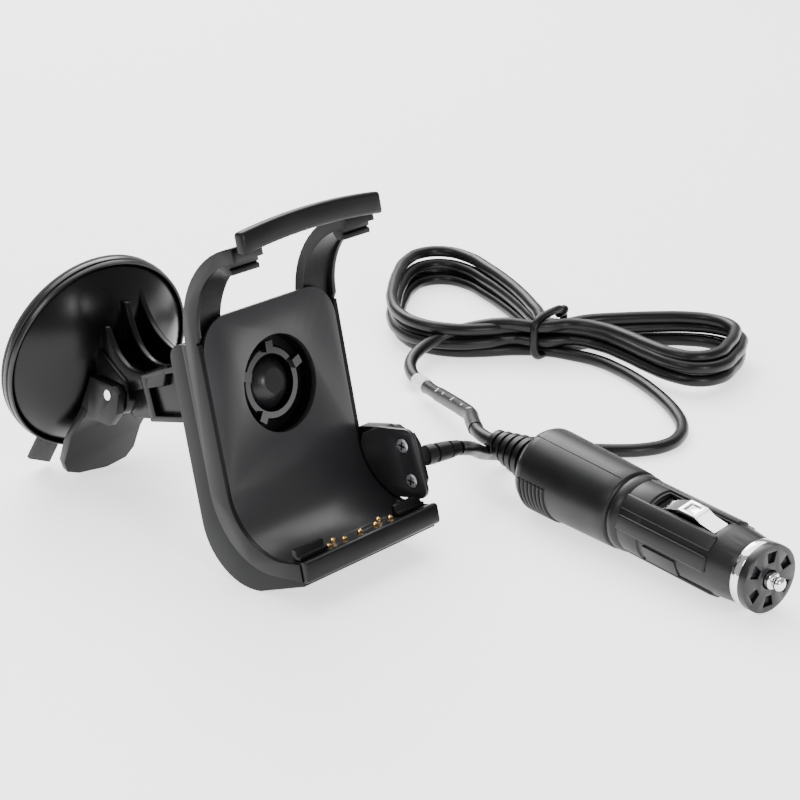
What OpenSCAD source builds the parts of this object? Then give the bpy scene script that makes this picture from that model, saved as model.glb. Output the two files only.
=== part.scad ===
// Powered suction mount for a handheld navigator: a leaning cradle with a ball joint,
// a lever-locked suction cup, and a 12 V lighter-socket lead that is wound in a tied hank.
// +X runs across the cradle, -Y is the side that the navigator faces, +Z is up.

/* [Cradle] */
// Lean of the cradle away from upright, in degrees
lean = 13; // [8:1:18]
// Width of the cradle over its side frame
cradle_w = 52; // [50:1:56]
// Height of the back plate above the foot, along the plate
plate_h = 66; // [62:1:70]
// Thickness of the back plate
plate_t = 1.8; // [1.5:0.1:2.2]
// Radius of the curve between back plate and shelf
curve_r = 18; // [16:1:20]
// Height of the shelf above the foot
shelf_z = 8; // [7.5:0.5:9]
// Distance that the shelf reaches forward of the back plate
shelf_reach = 22.8; // [22:0.2:24]
// Diameter of the round opening in front of the ball
hole_d = 26.6; // [25:0.2:28]
// Height of that opening's centre, along the plate
hole_z = 49; // [48:0.5:50]
// Outer radius of the arms that reach over the navigator
arch_r = 25.2; // [24.8:0.2:26]
// Thickness of those arms
arch_t = 5.4; // [4:0.2:5.4]
// Width of each arm
arch_w = 10.5; // [8:0.5:12]

/* [Ball joint] */
// Diameter of the ball
ball_d = 17; // [16.6:0.2:17.2]
// Depth of the ball's centre behind the plate's face
ball_depth = 10; // [9.8:0.1:10.2]
// Slope of the arm below level, in degrees
arm_drop = 18; // [16:1:20]

/* [Suction cup] */
// Diameter over the rim
cup_d = 61.4; // [60:0.2:63]
// Height of the dome
dome_h = 14; // [13:0.5:15]
// Pitch of the cup, face up, in degrees
cup_pitch = 13; // [11:1:14]
// Yaw of the cup, in degrees
cup_yaw = -7.7; // [-9:0.1:-6]
// Turn of the cup about its own axis, in degrees
cup_turn = 6.5; // [4:0.5:8]
// Distance from the rim to the lever's pivot
pivot_d = 24; // [23.5:0.5:25]
// Width of the lever
lever_w = 23; // [22.8:0.2:24]

/* [Plug] */
// Diameter of the nose that enters the socket
nose_d = 20.9; // [20.2:0.1:20.9]
// Width of the side contacts.
contact_w = 5.4; // [4:0.1:7]
// Diameter of the flange at the tip
tip_flange_d = 18.9; // [18.4:0.1:19.2]
// Length of the grip
grip_len = 38; // [36:1:40]
// Diameter of the grip at its rear
grip_rear_d = 24.6; // [24.2:0.2:25]
// Diameter of the grip at its front
grip_front_d = 22.7; // [22.5:0.1:23]

/* [Cord] */
// Diameter of the cord
cord_d = 4; // [3.8:0.1:4.2]
// Height of the hank
hank_h = 14; // [12:0.5:15]

/* [Hidden] */
$fn = 64;
eps = 0.05;

// Moves the whole assembly so that the origin is under the middle of the mount's box.
origin_shift = [-3.95, -40.3, 0];

// Cradle, in its own leaning frame: y = 0 is the plate's face, z runs up the plate.
plate_w = cradle_w - 2.8;
wall_x = plate_w / 2 + 0.1;
inner_x = wall_x - 2;
// The plate stands a little above the frame, thinned at the back to clear the arms.
plate_top = plate_h + 5.6;
plate_top_t = 1.1;
plate_corner_r = 9.5;
back_y = 12.5;
heel_r = 18;
heel_y = -5.5;
heel_z = (heel_r + heel_y * sin(lean)) / cos(lean);
shell_t = 2;
shell_r = 4;
SHELL_SCREW_Z = [22, 57];
lip_t = 2.4;
lip_h = 5.4;
curve_z = shelf_z + curve_r;
part_y = 6.5;
arch_z = plate_h;
arch_y = -(arch_r - 5);
bar_z = arch_z + arch_r;
bar_half = cradle_w / 2 - 0.4;
bar_t = 3.4;
hook_z = 84.2;
arch_taper = 1.6;
web_t = 2.8;

// Ball joint
ball_r = ball_d / 2;
liner_t = 1.15;
seat_r = ball_r + liner_t + 0.1;
stud_r = 3.6;
shank_r = 3;
shank_gap = 0.05;
ball_at = [0, ball_depth * cos(lean) + hole_z * sin(lean), -ball_depth * sin(lean) + hole_z * cos(lean)];
arm_yaw = -0.9;

// Suction cup
cup_at = [4, 92, 36.2];
cup_r = cup_d / 2;
dome_r = (cup_r * cup_r + dome_h * dome_h) / (2 * dome_h);
dome_t = 2.2;
rim_in = cup_r - 1.2;
hub_x = 8.7;
pin_r = 1.5;
fit = 0.05;

// Contact pins: places on the shelf as [across, along the shelf]
PINS = [[-12, -20], [-6, -20], [0, -20], [6, -20], [12, -20], [-7.8, -17.4], [10, -17.4]];
// Screws of the module as [forward, up]
MODULE_SCREWS = [[-16.2, 24.6], [-17.4, 14.6]];
contact_r = 0.8;
contact_up = 1.2;

// Plug: x = 0 is the face of the tip flange, +x points out of the tip.
plug_at = [52.4, -112.1, 10.2];
plug_pitch = 1.43;
plug_yaw = -100.4;
plug_roll = 14;
tongue_roll = 25;
nose_front_r = nose_d / 2 - 0.5;
nose_len = 50;
split_gap = 0.02;
grip_end = -(nose_len + grip_len);
boot_len = 21;

// Lead from the strain relief to the hank, tail from the hank to the plug
LEAD = [
    [44.6, -13.9, 22], [50, -12.8, 20], [57, -9.5, 16.5], [65, -5, 12], [73, -0.5, 8], [81, 1, 5],
    [89, 0, 3], [97, -5, 2.2], [105, -12, 2.2], [111, -19.5, 2.2], [117.5, -25.5, 2.2], [125, -28.5, 2.2],
    [133, -27.5, 2.2], [141, -23, 2.2], [148, -16, 2.2], [154, -8, 2.2], [159.5, 1, 2.2],
    [164.5, 11, 2.2], [169, 22, 2.2], [171.5, 32, 2.2], [171.5, 42, 2.2]
];
TAIL = [
    [72, -4.9, 12.8], [73.4, 1, 12.8], [76.6, 6.5, 12.6], [81.6, 12, 12], [88, 18.4, 10.8], [93, 26, 9.4],
    [98.3, 35, 7.8], [103.6, 44.5, 6.2], [108.5, 53.5, 5], [113, 61.5, 4], [118, 68.8, 3.8],
    [123.6, 74, 4.4], [130.5, 76.8, 5.6], [138, 76.8, 7.2], [145, 73.6, 9.2], [151.5, 68.2, 11],
    [157, 61, 12.2], [161, 53.5, 12.6]
];
// Outline of the hank, seen from above
HANK = [
    [160, 50], [151, 63], [140, 73], [136, 87], [143, 102], [156, 115], [176, 130], [200, 139], [211, 128],
    [206, 108], [196, 87], [184, 67], [177, 55], [181, 48], [192, 41], [203, 29], [213, 19], [213, 5],
    [205, -4], [190, -10], [177, -15], [165, -15], [160, -5], [163, 12], [169, 28], [166, 41]
];
tie_at = [168.7, 51.5, 0];
tie_yaw = -84;
tie_w = 17.4;
tie_band = 1.4;

// Parts of the cradle stand in the leaning frame.
module in_cradle() translate(origin_shift) rotate([-lean, 0, 0]) children();
// Parts of the arm stand in a frame with its origin in the ball and +Y along the arm.
module in_arm() translate(origin_shift + ball_at) rotate([-arm_drop, 0, arm_yaw]) children();
// Parts of the cup stand in a frame with its origin in the rim and +Y towards the glass.
module in_cup()
    translate(origin_shift + cup_at) rotate([0, 0, cup_yaw]) rotate([cup_pitch, 0, 0])
        rotate([0, cup_turn, 0]) children();
// Parts of the plug stand in a frame with its origin in the tip flange and +X out of the tip.
module in_plug()
    translate(origin_shift + plug_at) rotate([0, plug_pitch, plug_yaw]) children();

// Extrudes a side view, drawn as [y, z], across x.
module across(x0, x1) translate([x0, 0, 0]) rotate([90, 0, 90]) linear_extrude(x1 - x0) children();
// Turns a profile, drawn as [radius, y], about the Y axis.
module turned_y() rotate([-90, 0, 0]) rotate_extrude() children();
// Turns a profile, drawn as [radius, x], about the X axis.
module turned_x() rotate([0, 90, 0]) rotate_extrude() children();
// A round bar along Y.
module bar_y(r, y0, y1) translate([0, y0, 0]) rotate([-90, 0, 0]) cylinder(r = r, h = y1 - y0);
// A round bar along X.
module bar_x(r, x0, x1) translate([x0, 0, 0]) rotate([0, 90, 0]) cylinder(r = r, h = x1 - x0);

function arc(c, r, a0, a1, n) =
    [for (i = [0:n]) let (a = a0 + (a1 - a0) * i / n) [c[0] + r * cos(a), c[1] + r * sin(a)]];
function flip(v) = [for (i = [len(v) - 1:-1:0]) v[i]];

// Side views of the cradle, from the top downwards and then forwards
function seat_line(t, top) = concat(
    [[t, top]], arc([-curve_r, curve_z], curve_r + t, 0, -90, 14), [[-shelf_reach, shelf_z - t]]);
function part_line(top) = concat(
    [[part_y, top]],
    [for (i = [0:12]) let (a = i * 7.5) [-14 + (part_y + 14) * cos(a), curve_z - (curve_z - 4) * sin(a)]],
    [[-shelf_reach, 3.2]]);
function heel_line(t, top) = concat(
    [[back_y - t, top]], arc([heel_y, heel_z], heel_r - t, 0, -90, 14), [[-shelf_reach, 1.9 + t]]);

module face_plate() color("#35363a") in_cradle() difference() {
    across(-plate_w / 2, plate_w / 2)
        polygon(concat(
            seat_line(0, plate_top), flip(seat_line(plate_t, plate_h - 6)),
            [[plate_top_t, plate_h - 6], [plate_top_t, plate_top]]));
    translate([0, 0, hole_z]) bar_y(hole_d / 2, -1, plate_t + 1);
    for (s = [-1, 1]) plate_corner(s);
    for (p = PINS) translate([p[0], p[1], shelf_z - plate_t - 1]) cylinder(r = contact_r + fit, h = plate_t + 2);
}

// Cuts one upper corner of the plate round.
module plate_corner(side) translate([side * (plate_w / 2 - plate_corner_r), 3, plate_top - plate_corner_r])
    rotate([90, 0, 0]) linear_extrude(4) difference() {
        translate([side > 0 ? 0 : -plate_corner_r - 1, 0]) square(plate_corner_r + 1);
        circle(plate_corner_r);
    }

module side_frame() color("#2b2c2f") in_cradle() {
    for (s = [-1, 1]) mirrored(s) {
        across(wall_x, cradle_w / 2)
            polygon(concat(seat_line(0, plate_h), flip(part_line(plate_h))));
        across(inner_x, wall_x)
            polygon(concat(seat_line(plate_t + eps, plate_h - 4), flip(part_line(plate_h - 4))));
        across(cradle_w / 2 - arch_w, cradle_w / 2) arm_side(arch_r - web_t, -1);
        across(wall_x, cradle_w / 2) arm_side(arch_r - arch_t, arch_taper);
        across(cradle_w / 2 - arch_w + 0.3, cradle_w / 2 - 0.4) polygon([
            [-13.6, 88.5], [-13.6, hook_z + 1.8], [-14.8, hook_z], [-17.6, hook_z], [-17.6, hook_z + 1.2],
            [-16.8, hook_z + 1.6], [-17.6, hook_z + 2], [-17.6, 88.5]]);
    }
    across(-inner_x, inner_x) polygon([
        [-shelf_reach, 3.2], [-14, 4], [-14, 4.6], [-shelf_reach, 4.6]]);
}
// Side view of an arm, whose inner curve has the given radius and rise of its centre
module arm_side(inner_r, rise) polygon(concat(
    [[part_y - 1.3, plate_h - 8], [plate_t + eps, plate_h - 8], [plate_t + eps, plate_h - 1.5]],
    arc([arch_y, arch_z + rise], inner_r, 0.4, 88, 14),
    arc([arch_y, arch_z], arch_r, 88, 0, 14)));
module mirrored(side) { if (side > 0) children(); else mirror([1, 0, 0]) children(); }

module top_bar() color("#2b2c2f") in_cradle() {
    steps = [for (i = [-6:6]) i * bar_half / 6];
    translate([0, arch_y - 0.3, 0]) rotate([90, 0, 0]) linear_extrude(bar_t) polygon(concat(
        [for (x = steps) [x, bar_z + 5.5 - x * x / 400]],
        [for (x = flip(steps)) [x, bar_z - 0.4 - x * x / 400]]));
}

module rear_shell() color("#26272a") in_cradle() difference() {
    union() {
        across(-cradle_w / 2 + 0.4, cradle_w / 2 - 0.4)
            polygon(concat(part_line(plate_h), flip(heel_line(0, plate_h - shell_r)),
                arc([back_y - shell_r, plate_h - shell_r], shell_r, 0, 90, 6)));
        translate([0, 0, hole_z]) turned_y() polygon([
            [0, back_y - 1], [15, back_y - 1], [13, ball_depth + 6.5], [0, ball_depth + 6.5]]);
    }
    across(-inner_x, inner_x)
        polygon(concat([[-30, plate_h - shell_t]], heel_line(shell_t, plate_h - shell_t), [[-30, 4]]));
    translate([0, 0, hole_z]) turned_y() polygon(concat(
        [[0, ball_depth - 3]], [[seat_r + 0.02, ball_depth - 3]],
        [for (a = [0:7:42]) [seat_r * cos(a), ball_depth + seat_r * sin(a)]],
        [[seat_r * cos(42), ball_depth + 8], [0, ball_depth + 8]]));
    for (x = [-19, 19], z = SHELL_SCREW_Z) translate([x, 0, z]) {
        bar_y(1.5, 5, back_y + 1);
        bar_y(2.7, back_y - 0.9, back_y + 1);
    }
}

module front_lip() color("#2b2c2f") in_cradle()
    across(-cradle_w / 2 + 0.3, cradle_w / 2 - 0.3) polygon(concat(
        [[-shelf_reach - eps, 2.6]],
        [[-shelf_reach - eps, shelf_z + 0.6]],
        arc([-shelf_reach - lip_t + 0.9, shelf_z - 0.2], 0.9, 90, 180, 4),
        arc([-shelf_reach - lip_t + 0.9, 3.9], 0.9, 180, 270, 4)));

module guide_blocks() color("#2b2c2f") in_cradle() for (s = [-1, 1]) mirrored(s)
    across(14, 24.2) polygon([
        [-21.6, shelf_z + eps], [-21.6, shelf_z + 1.4], [-20.4, shelf_z + 1.4], [-20.4, shelf_z + 3.2],
        [-18.8, shelf_z + 3.2], [-18.8, shelf_z + eps]]);

module contact_block() color("#1c1c1e") in_cradle() difference() {
    across(-15, 15) polygon([
        [-22, 4.65], [-22, shelf_z - plate_t - eps], [-15.2, shelf_z - plate_t - eps], [-15.2, 4.65]]);
    for (p = PINS) translate([p[0], p[1], 4.95]) cylinder(r = contact_r + fit, h = 4);
}

module circuit_board() color("#1f5a36") in_cradle()
    across(-17, 17) polygon([[3.2, 14], [4.6, 14], [4.6, 32], [3.2, 32]]);

module socket_cup() color("#232427") in_cradle() translate([0, 0, hole_z]) turned_y() polygon(concat(
    [[14.6, plate_t + eps], [14.6, back_y - shell_t - eps], [seat_r, back_y - shell_t - eps]],
    [for (a = [0:5:25]) [seat_r * cos(a), ball_depth - seat_r * sin(a)]],
    [[13.3, ball_depth - seat_r * sin(25)], [13.3, plate_t + eps]]));

module socket_ring() color("#1a1a1c") in_cradle() translate([0, 0, hole_z]) {
    ring_y = ball_depth - seat_r * sin(25) - eps;
    turned_y() polygon([[7.9, ring_y - 2.4], [9.6, ring_y - 2.4], [10.2, ring_y - 1.8],
        [10.2, ring_y], [7.9, ring_y]]);
    for (a = [21, 88, 157, 234]) rotate([0, -a, 0])
        translate([8.6, ring_y - 3.6, -1.3]) cube([2.9, 2.6, 2.6]);
}

module shell_screws() color("#8a8c90") in_cradle() for (x = [-19, 19], z = SHELL_SCREW_Z)
    translate([x, 0, z]) {
        bar_y(1.4, part_y + 0.5, back_y - 0.9);
        bar_y(2.6, back_y - 0.9 + fit, back_y - 0.1);
    }

// Outline of the plate that closes the right side of the seat
function module_line() = concat(
    [for (a = [-4:-7:-67]) [-curve_r + (curve_r - 0.4) * cos(a) , curve_z + (curve_r - 0.4) * sin(a)]],
    arc([-19.6, 12.6], 3, 270, 180, 5), arc([-17.9, 26.4], 3, 180, 100, 5), [[-8, 29.8], [-1.6, 27.6]]);

module module_cover() color("#55565a") in_cradle() difference() {
    across(wall_x + 0.1, cradle_w / 2 + 0.1) polygon(module_line());
    for (p = MODULE_SCREWS) translate([0, p[0], p[1]]) {
        bar_x(1.25, wall_x - 1, cradle_w / 2 + 1);
        bar_x(2.15, wall_x - 1, wall_x + 0.85);
    }
}

module module_housing() color("#2b2c2f") in_cradle() difference() {
    union() {
        across(cradle_w / 2 + 0.15, cradle_w / 2 + 4) polygon([
            [4, 10], [4, 27], [0, 29.4], [-9, 29.4], [-11, 27.4], [-17, 27], [-18.6, 24], [-19.4, 14], [-17.5, 10.6],
            [-10, 10]]);
        across(cradle_w / 2 + 4, cradle_w / 2 + 8) polygon([
            [3, 11], [3, 26], [0, 28], [-8, 28], [-12, 25.6], [-13.6, 21], [-13.6, 14], [-11.5, 11.6], [-8, 11]]);
    }
    for (p = MODULE_SCREWS) translate([0, p[0], p[1]]) bar_x(1.05, cradle_w / 2, cradle_w / 2 + 3.5);
}

module module_screws() color("#c4c6c8") in_cradle() for (p = MODULE_SCREWS)
    translate([0, p[0], p[1]]) {
        bar_x(1, wall_x + 0.85, cradle_w / 2 + 3.4);
        difference() {
            bar_x(2.1, wall_x + 0.15, wall_x + 0.85 - 0.02);
            for (a = [0, 90]) rotate([a, 0, 0]) translate([wall_x, -1.4, -0.25]) cube([0.5, 2.8, 0.5]);
        }
    }

// The moulded sleeve on the cord where it leaves the module
module cable_boot() color("#232427") translate(origin_shift) translate([33.9, -10.9, 22.2])
    rotate([0, 0, -15.6]) turned_x() polygon([
        [0, 0.2], [2.9, 0.2], [2.9, 2.6], [2.3, 2.6], [2.3, 3.6], [2.8, 3.6], [2.6, 7.4], [2.2, 7.4],
        [2.2, 8.2], [2.5, 8.2], [2.1, 11.1], [0, 11.1]]);

module contact_pin(k) color("#d9b04a") in_cradle() translate([PINS[k - 1][0], PINS[k - 1][1], 0])
    rotate_extrude() polygon([
        [0, 5.95], [contact_r, 5.95], [contact_r, shelf_z + contact_up - 0.5],
        [contact_r * 0.7, shelf_z + contact_up - 0.15], [0, shelf_z + contact_up]]);

// Thin plastic cup that turns in the socket and carries the ball
module socket_liner() color("#3c3d41") in_cradle() translate([0, 0, hole_z]) turned_y() polygon(concat(
    [for (a = [-10:6:38]) [(seat_r - fit) * cos(a), ball_depth + (seat_r - fit) * sin(a)]],
    [for (a = [38:-6:-10]) [(ball_r + fit) * cos(a), ball_depth + (ball_r + fit) * sin(a)]]));

module ball() color("#3a3b3f") in_arm() {
    turned_y() polygon(concat(
        [[0, -ball_r * cos(24)]], [for (a = [24:6:153]) [ball_r * sin(a), -ball_r * cos(a)]],
        [[stud_r, ball_r], [stud_r, 13.5], [shank_r, 13.5], [shank_r, 22], [0, 22]]));
}

module dome_arm() color("#17171a") difference() {
    union() {
        in_cup() turned_y() polygon(concat(
            [for (i = [0:14]) let (r = rim_in * i / 14) [r, dome_y(r)]],
            [for (i = [14:-1:0]) let (r = (rim_in - 0.01) * i / 14) [r, min(dome_y(r) + dome_t, 0.02 * i / 14)]]));
        in_cup() hub();
        in_arm() arm_beam();
        in_cup() for (x = [-6.4, -0.8, 4.8]) rib(x);
    }
    in_cup() {
        translate([0, -pivot_d, 0]) bar_x(pin_r + 0.02, -12, 12);
        bar_y(4.1, -pivot_d - 7, 0);
        translate([-3.2, -pivot_d - 7, -5]) cube([6.4, 18.6, 10]);
        lever_room();
    }
    in_arm() {
        bar_y(shank_r + shank_gap, 0, 22.5);
        translate([-8.1, 19, -4.6]) cube([1.2, 15, 9.2]);
    }
}
// Height of the dome's outer skin at a distance from its axis
function dome_y(r) = dome_r - sqrt(dome_r * dome_r - r * r) - dome_h;
module hub() translate([0, -pivot_d, 0]) across(-hub_x, hub_x) polygon(concat(
    arc([0, 0], 6, 270, 90, 10), [[12, 8], [12, -8]]));
module arm_beam() {
    across(-8, 8) polygon([
        [14, -6.5], [14, 7.2], [16, 8.6], [36, 7.2], [40, 6.8], [40, -7.4], [36, -7.7], [16, -8.4]]);
    across(-6.4, 6.4) polygon([[38, -6.8], [38, 6.6], [44, 6.2], [50, 5], [50, -5], [44, -6.8]]);
}
module rib(x) across(x, x + 1.8) polygon(concat(
    arc([-42, 43], 35, -90, -26, 12), [[-4.6, 26.6], [-10.8, 13], [-13, 0], [-42, 0]]));
module lever_room() for (s = [-1, 1]) mirrored(s)
    translate([0, -pivot_d, 0]) bar_x(7.4, hub_x, hub_x + 6);

module arm_cover() color("#232427") in_arm() translate([-8, 19.15, -4.45]) cube([1.05, 14.7, 8.9]);

module rim_ring() color("#4a4b4f") in_cup() turned_y() polygon([
    [cup_r - 1.1, -2.4], [cup_r - 0.4, -2.2], [cup_r, -1.2], [cup_r, 0.4], [cup_r - 0.5, 1], [cup_r - 1.1, 1]]);

module suction_pad() color("#202022") in_cup() difference() {
    union() {
        turned_y() polygon([
            [0, -4.5], [8, -4.5], [9, 0.2], [cup_r - 1.6, 0.2], [cup_r - 1.2, 1.05], [cup_r - 0.2, 1.05],
            [cup_r - 0.2, 2], [cup_r - 1.5, 2.6], [cup_r - 6, 2.6], [12, 2.2], [0, 1.8]]);
        rotate([0, 18, 0]) translate([-4, 1.1, -38]) cube([8, 1.4, 9]);
    }
    bar_y(4.1, -5, -0.6);
}

module pull_stud() color("#9a9ca0") in_cup() difference() {
    union() {
        bar_y(4, -4.2, -3.9);
        bar_y(2.6, -16, -3.9);
        translate([-2.9, -pivot_d - 5.4, -3.6]) cube([5.8, 13.4, 7.2]);
    }
    for (y = [-3.2, 0.2]) translate([0, y - pivot_d, 0]) bar_x(pin_r + 0.1, -4, 4);
    translate([-4, -pivot_d - 3.2, -pin_r - 0.1]) cube([8, 3.4, 2 * pin_r + 0.2]);
}

module lever() color("#222326") in_cup() translate([0, -pivot_d, 0]) {
    difference() {
        for (s = [-1, 1]) mirrored(s) across(hub_x + 0.3, lever_w / 2) polygon([
            [9.4, 1], [-1.6, 3.6], [-4.6, 2.6], [-5.4, -3.4], [-3, -8.4], [2.8, -10], [7.6, -12], [11.4, -12.6]]);
        bar_x(pin_r + 0.02, -14, 14);
    }
    intersection() {
        across(-13, 13) polygon([
            [7.6, -9.6], [11.4, -20], [12.8, -34.6], [15.4, -34.6], [14.6, -23], [12.6, -16.8], [10.6, -9.6]]);
        translate([0, 30, -22]) rotate([90, 0, 0]) linear_extrude(40) polygon([
            [-11.5, 14], [11.5, 14], [12.2, 5], [12, -6], [10, -9.6], [4, -12], [-6, -12.4], [-10.4, -11.2],
            [-12.4, -7.6], [-12.6, 2]]);
    }
}

module lever_pin() color("#d2d4d6") in_cup() translate([0, -pivot_d, 0])
    bar_x(pin_r, -lever_w / 2 - 0.25, lever_w / 2 + 0.25);

// A tube swept through a list of places, none of which lies above another
module tube(route, r, sides = 10) {
    n = len(route);
    tangent = [for (i = [0:n - 1]) let (d = route[min(i + 1, n - 1)] - route[max(i - 1, 0)]) d / norm(d)];
    side = [for (t = tangent) let (c = cross(t, [0, 0, 1])) c / norm(c)];
    points = [for (i = [0:n - 1], j = [0:sides - 1])
        route[i] + r * (cos(j * 360 / sides) * side[i] + sin(j * 360 / sides) * cross(side[i], tangent[i]))];
    polyhedron(points, concat(
        [[for (j = [0:sides - 1]) j]],
        [for (i = [0:n - 2], j = [0:sides - 1]) let (a = i * sides + j, b = i * sides + (j + 1) % sides)
            [a, a + sides, b + sides, b]],
        [[for (j = [sides - 1:-1:0]) (n - 1) * sides + j]]));
}
module cord_lead() color("#26272a") translate(origin_shift) tube(LEAD, cord_d / 2);
module cord_tail() color("#26272a") translate(origin_shift) tube(TAIL, cord_d / 2);

module cord_hank() color("#26272a") translate(origin_shift) linear_extrude(hank_h) polygon(HANK);

module cord_tie() color("#1f2022") translate(origin_shift + tie_at) rotate([0, 0, tie_yaw])
    translate([-1.6, 0, 0.1]) rotate([90, 0, 90]) linear_extrude(3.2) difference() {
        translate([-tie_w / 2 - tie_band, 0]) square([tie_w + 2 * tie_band, hank_h + 1.8]);
        translate([-tie_w / 2, 0.6]) square([tie_w, hank_h - 0.6]);
    }

module cord_label() color("#e8e8e8") translate(origin_shift)
    tube([for (i = [8:9]) TAIL[i]], cord_d / 2 + 0.3);
module cord_sleeve() color("#3a3b3e") translate(origin_shift)
    tube([for (i = [3:7]) TAIL[i]], cord_d / 2 + 0.35);

module grip_shape() turned_x() polygon([
    [0, grip_end], [grip_rear_d / 2 - 2, grip_end], [grip_rear_d / 2, grip_end + 2],
    [grip_front_d / 2, -nose_len - 1], [grip_front_d / 2 - 0.8, -nose_len], [0, -nose_len]]);
module plug_half(side) difference() {
    grip_shape();
    translate([grip_end - 1, side > 0 ? -40 + split_gap : -split_gap, -20]) cube([grip_len + 2, 40, 40]);
    bar_x(grip_front_d / 2 - 1.6, grip_end + 2, -nose_len - 4);
    bar_x(8, -nose_len - 6, -nose_len + 1);
    bar_x(2.9, grip_end - 1, grip_end + 3);
}
module plug_housing_left() color("#2a2b2e") in_plug() plug_half(1);
module plug_housing_right() color("#2a2b2e") in_plug() plug_half(-1);

module plug_nose() color("#2a2b2e") in_plug() difference() {
    union() {
        nose_shape();
        rotate([tongue_roll, 0, 0]) translate([-36.5, -nose_front_r - 0.35, -2.6]) cube([12, 3, 5.2]);
    }
    bar_x(5.6, -nose_len, -9);
    rotate([plug_roll, 0, 0]) for (s = [-1, 1])
        translate([-38, -3.2, s > 0 ? 4 : -12]) cube([23, 6.4, 8]);
}
// The full round behind the slots is the part that centres in the socket's mouth.
module nose_shape() turned_x() polygon([
    [5, -nose_len - 4], [7.9, -nose_len - 4], [7.9, -nose_len + 0.05], [nose_d / 2, -nose_len + 0.05],
    [nose_d / 2, -39], [nose_front_r, -38.6], [nose_front_r, -13], [nose_d / 2 - 1.3, -5.2], [5, -5.2]]);
module nose_ring() color("#cfd1d3") in_plug() turned_x() polygon([
    [5.2, -5.15], [nose_d / 2 - 1.1, -5.15], [tip_flange_d / 2 - 0.1, -2.6], [5.2, -2.6]]);
module nose_cap() color("#1d1d20") in_plug() difference() {
    bar_x(tip_flange_d / 2, -2.55, 0);
    bar_x(2.7, -4, 1);
    for (a = [0:60:300]) rotate([a, 0, 0]) rotate([90, 0, 90]) translate([0, 0, -1.3]) linear_extrude(2)
        polygon([[-1.1, 4.7], [1.1, 4.7], [1.8, 7.7], [-1.8, 7.7]]);
}
// The folded side contact; crest is its highest point above the plug's axis.
module side_contact(side, crest) rotate([plug_roll, 0, 0]) mirror([0, 0, side > 0 ? 0 : 1])
    rotate([90, 0, 0]) translate([0, 0, -contact_w / 2]) linear_extrude(contact_w) polygon([
        [-37.5, 8.4], [-36, 8.4], [-29, crest], [-23, crest], [-16, 9.2], [-16, 7.6], [-37.5, 7.6]]);
module side_contact_a() color("#cfd1d3") in_plug() side_contact(1, 11.3);
module side_contact_b() color("#cfd1d3") in_plug() side_contact(-1, 10.3);
module tip_pin() color("#cfd1d3") in_plug() turned_x() polygon([
    [0, -12], [3.4, -12], [3.4, -2.65], [2.6, -2.65], [2.6, -1], [2.2, 1.6], [1.6, 1.9], [1.6, 2.6],
    [1.9, 3.2], [1.7, 4], [1, 4.5], [0, 4.6]]);
module tip_spring() color("#b8babd") in_plug() for (i = [0:5])
    turned_x() translate([4.2, -38 - i * 1.8]) circle(0.45, $fn = 16);
module fuse() color("#b9bcc0") in_plug() turned_x() polygon([
    [0, -38], [3, -38], [3, -33], [2.8, -33], [2.8, -17.3], [3, -17.3], [3, -12.05], [0, -12.05]]);
module converter_board() color("#1f5a36") in_plug() translate([grip_end + 6, -8.5, -0.8]) cube([26, 17, 1.6]);
module plug_boot() color("#222326") in_plug() turned_x() polygon(concat(
    [[0, grip_end - boot_len], [2.9, grip_end - boot_len]],
    [for (i = [0:6], k = [0:1]) [3.2 + 0.6 * i + 0.5 * k, grip_end - boot_len + 3 * i + 0.1 + 1.8 * k]],
    [[2.8, grip_end - 0.05], [2.8, grip_end + 2.9], [0, grip_end + 2.9]]));

face_plate();
side_frame();
top_bar();
rear_shell();
front_lip();
guide_blocks();
contact_block();
circuit_board();
socket_cup();
socket_ring();
shell_screws();
module_cover();
module_housing();
module_screws();
cable_boot();
for (k = [1:7]) contact_pin(k);
socket_liner();
ball();
dome_arm();
arm_cover();
rim_ring();
suction_pad();
pull_stud();
lever();
lever_pin();
cord_lead();
cord_hank();
cord_tail();
cord_tie();
cord_label();
cord_sleeve();
plug_boot();
plug_housing_left();
plug_housing_right();
plug_nose();
nose_ring();
nose_cap();
side_contact_a();
side_contact_b();
tip_pin();
tip_spring();
fuse();
converter_board();
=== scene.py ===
import logging
import math
from dataclasses import dataclass
from enum import Enum
from typing import ClassVar, Iterable

import bpy
from mathutils import Matrix, Vector


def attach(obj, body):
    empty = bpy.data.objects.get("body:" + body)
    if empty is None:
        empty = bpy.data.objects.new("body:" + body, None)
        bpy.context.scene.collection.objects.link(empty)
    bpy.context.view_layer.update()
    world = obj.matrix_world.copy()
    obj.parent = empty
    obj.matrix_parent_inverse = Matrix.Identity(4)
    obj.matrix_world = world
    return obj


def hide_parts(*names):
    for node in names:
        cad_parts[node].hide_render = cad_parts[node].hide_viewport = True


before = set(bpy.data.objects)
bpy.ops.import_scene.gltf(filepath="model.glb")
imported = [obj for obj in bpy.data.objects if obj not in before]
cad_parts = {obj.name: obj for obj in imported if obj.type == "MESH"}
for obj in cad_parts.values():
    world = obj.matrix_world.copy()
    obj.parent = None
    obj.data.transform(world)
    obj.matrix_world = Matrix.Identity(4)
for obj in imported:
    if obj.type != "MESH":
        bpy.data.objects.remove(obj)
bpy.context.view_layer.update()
LOG = logging.getLogger("scene")
MM = 0.001
# Moves the whole object from the frame it is laid out in to the CAD frame, in millimetres
SHIFT = Vector((-3.95, -40.3, 0.0))
# Corners of a copied CAD mesh nearer than this are one corner, in metres
MERGE_DISTANCE = 0.000004
# Faces of a copied CAD mesh that meet at less than this become one face, in degrees
FLAT_ANGLE = 0.6
# Corners of a turned profile nearer than this are one corner, in metres
SPIN_MERGE = 0.000002


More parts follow.
